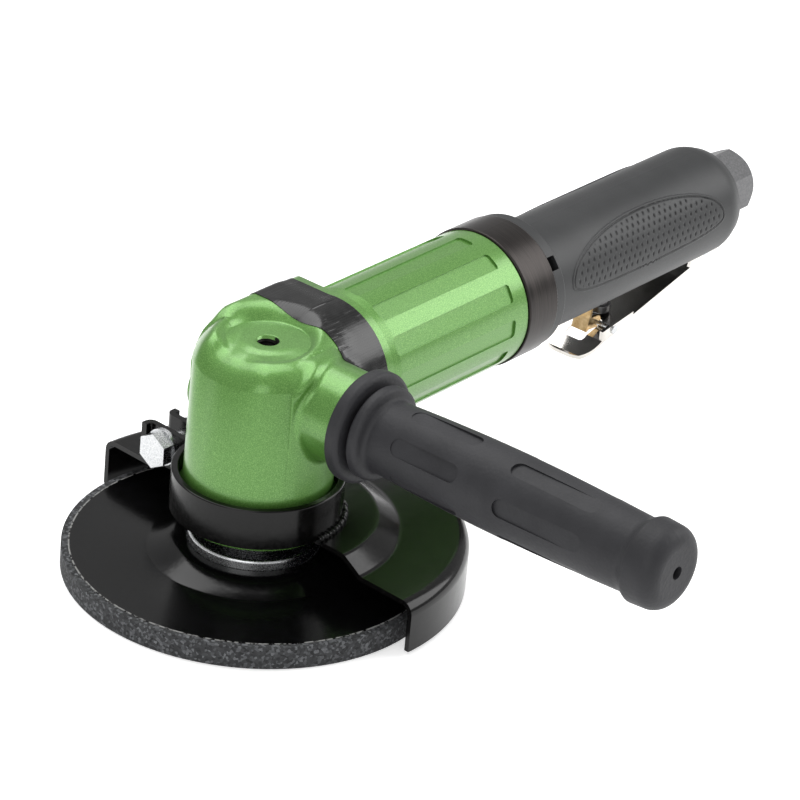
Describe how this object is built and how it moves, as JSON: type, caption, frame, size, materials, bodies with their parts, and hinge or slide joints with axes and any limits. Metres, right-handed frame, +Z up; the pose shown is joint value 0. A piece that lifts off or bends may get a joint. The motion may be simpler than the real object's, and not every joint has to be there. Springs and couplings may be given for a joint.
{
  "type": "angle grinder",
  "caption": "Air-powered angle grinder with a side handle, a half guard, a raised-centre grinding wheel and a throttle lever under its grip.",
  "frame": {"origin": "centre of the grinding wheel's working face, on the spindle axis", "axes": "+Z up the spindle axis to the gear head's top, +X back along the motor to the air inlet, side handle towards -Y"},
  "size_m": [0.2915, 0.2127, 0.0818],
  "materials": {
    "green_enamel": "gloss metallic",
    "black_enamel": "gloss",
    "anodised_collar": "satin",
    "grip_nylon": "fine grain",
    "handle_rubber": "leather grain",
    "bright_chrome": "polished",
    "bright_zinc": "zinc plated",
    "yellow_zinc": "yellow zinc plated",
    "black_oxide": "black oxide",
    "ground_steel": "ground",
    "bearing_steel": "polished",
    "liner_iron": "honed",
    "alloy_plate": "machined",
    "vane_phenolic": "smooth",
    "bonded_abrasive": "gritty with a gloss label",
    "seal_white": "smooth"
  },
  "bodies": {
    "body": {"gear_housing": "green_enamel", "motor_housing": "green_enamel", "bearing_cap": "black_oxide", "lower_spindle_bearing": "bearing_steel", "needle_bearing": "bearing_steel", "pinion_bearing": "bearing_steel", "front_rotor_bearing": "bearing_steel", "rear_rotor_bearing": "bearing_steel", "motor_liner": "liner_iron", "front_end_plate": "alloy_plate", "rear_end_plate": "alloy_plate", "rear_collar": "anodised_collar", "exhaust_ring": "grip_nylon", "throttle_body": "alloy_plate", "grip": "grip_nylon", "inlet_washer": "seal_white", "inlet_bushing": "black_oxide", "plunger_guide": "black_oxide", "lever_pin": "bright_zinc", "handle_grip": "handle_rubber", "handle_stud": "bright_zinc", "valve_spring": "ground_steel"},
    "spindle": {"spindle": "ground_steel", "gear_spacer": "ground_steel", "bevel_gear": "ground_steel", "inner_flange": "bright_zinc", "grinding_wheel": "bonded_abrasive", "flange_nut": "bright_zinc"},
    "rotor": {"rotor": "ground_steel", "rotor_vanes": "vane_phenolic", "bevel_pinion": "ground_steel"},
    "lever": {"throttle_lever": "bright_chrome", "catch_pin": "bright_zinc", "catch_spring": "ground_steel"},
    "catch": {"safety_catch": "yellow_zinc"},
    "plunger": {"valve_plunger": "black_oxide", "valve_poppet": "black_oxide"},
    "guard": {"guard_shell": "black_enamel", "guard_collar": "black_enamel", "clamp_bolt": "bright_zinc", "clamp_head_washer": "bright_zinc", "clamp_nut_washer": "bright_zinc", "clamp_nut": "bright_zinc"}
  },
  "joints": [
    {"name": "spindle_spin", "type": "hinge", "parent": "body", "child": "spindle", "pos_m": [0, 0, 0], "axis": [0, 0, 1], "continuous": true},
    {"name": "rotor_spin", "type": "hinge", "parent": "body", "child": "rotor", "pos_m": [0, 0, 0.0592], "axis": [1, 0, 0], "continuous": true},
    {"name": "throttle_squeeze", "type": "hinge", "parent": "body", "child": "lever", "pos_m": [0.2095, 0, 0.0442], "axis": [0, 1, 0], "range_deg": [0, 5.5], "stiffness_Nm_per_rad": 2, "springref_deg": -14.32},
    {"name": "catch_fold", "type": "hinge", "parent": "lever", "child": "catch", "pos_m": [0.1618, 0, 0.0306], "axis": [0, -1, 0], "range_deg": [0, 46]},
    {"name": "valve_lift", "type": "slide", "parent": "body", "child": "plunger", "axis": [0, 0, 1], "range_m": [0, 0.0042], "deforming": ["valve_spring"]},
    {"name": "guard_turn", "type": "hinge", "parent": "body", "child": "guard", "pos_m": [0, 0, 0.025], "axis": [0, 0, 1], "range_deg": [-90, 90]}
  ],
  "couplings": [
    {"joint": "rotor_spin", "follows": "spindle_spin", "ratio": 1.8},
    {"joint": "valve_lift", "follows": "throttle_squeeze", "m_per_rad": 0.0425},
    {"joint": "catch_fold", "follows": "throttle_squeeze", "ratio": 8.2}
  ]
}
